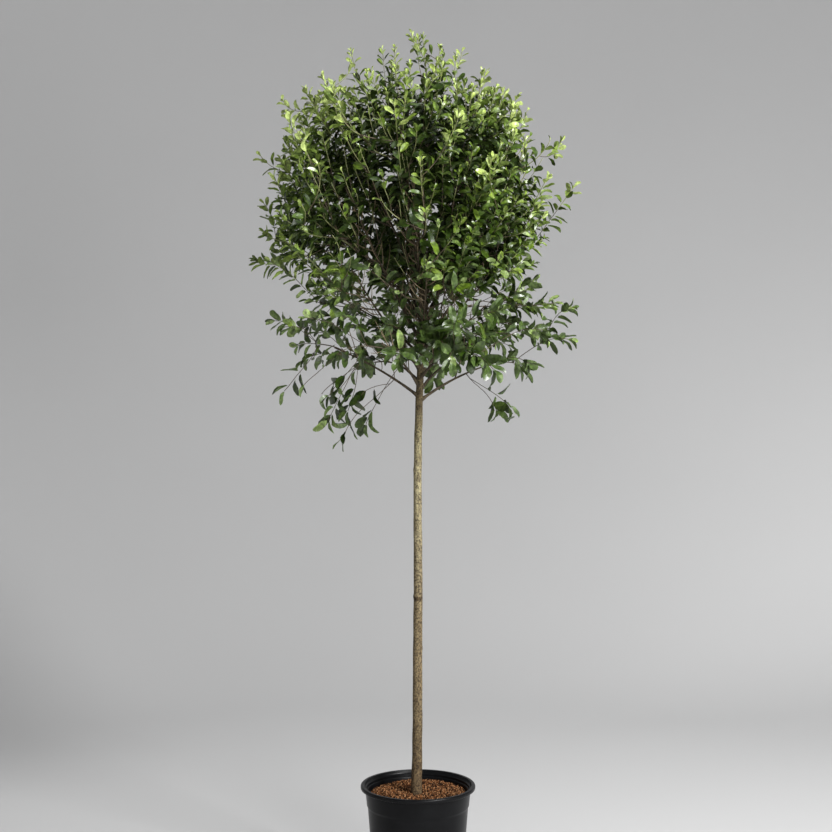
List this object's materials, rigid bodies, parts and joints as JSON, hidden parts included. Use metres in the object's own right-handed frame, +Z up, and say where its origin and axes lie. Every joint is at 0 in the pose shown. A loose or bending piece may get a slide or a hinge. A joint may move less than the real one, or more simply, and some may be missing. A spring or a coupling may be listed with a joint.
{
  "type": "standard topiary tree in a pot",
  "caption": "Clear-stemmed standard tree with a round open head of small leaves, growing in a round black nursery pot.",
  "frame": {"origin": "centre of the pot's flat underside", "axes": "+Z up along the stem, -Y to the front, +X to the right seen from the front"},
  "size_m": [0.8429, 0.7879, 2.2428],
  "materials": {
    "pot_plastic": "satin black moulded plastic",
    "potting_mix": "loose orange-brown bark and coir granules",
    "bark": "smooth grey-tan bark with fine speckles",
    "leaves": "satin green leaves, paler on young tips"
  },
  "bodies": {
    "root": {"pot": "pot_plastic", "potting_mix": "potting_mix", "stem": "bark", "bough_skirt_1": "bark", "bough_skirt_2": "bark", "bough_skirt_3": "bark", "bough_skirt_4": "bark", "bough_skirt_5": "bark", "bough_skirt_6": "bark", "bough_low_1": "bark", "bough_low_2": "bark", "bough_low_3": "bark", "bough_low_4": "bark", "bough_low_5": "bark", "bough_low_6": "bark", "bough_middle_1": "bark", "bough_middle_2": "bark", "bough_middle_3": "bark", "bough_middle_4": "bark", "bough_middle_5": "bark", "bough_middle_6": "bark", "bough_middle_7": "bark", "bough_upper_1": "bark", "bough_upper_2": "bark", "bough_upper_3": "bark", "bough_upper_4": "bark", "bough_upper_5": "bark", "bough_top": "bark", "foliage_skirt_1": "leaves", "foliage_skirt_2": "leaves", "foliage_skirt_3": "leaves", "foliage_skirt_4": "leaves", "foliage_skirt_5": "leaves", "foliage_skirt_6": "leaves", "foliage_low_1": "leaves", "foliage_low_2": "leaves", "foliage_low_3": "leaves", "foliage_low_4": "leaves", "foliage_low_5": "leaves", "foliage_low_6": "leaves", "foliage_middle_1": "leaves", "foliage_middle_2": "leaves", "foliage_middle_3": "leaves", "foliage_middle_4": "leaves", "foliage_middle_5": "leaves", "foliage_middle_6": "leaves", "foliage_middle_7": "leaves", "foliage_upper_1": "leaves", "foliage_upper_2": "leaves", "foliage_upper_3": "leaves", "foliage_upper_4": "leaves", "foliage_upper_5": "leaves", "foliage_top": "leaves"}
  },
  "joints": []
}
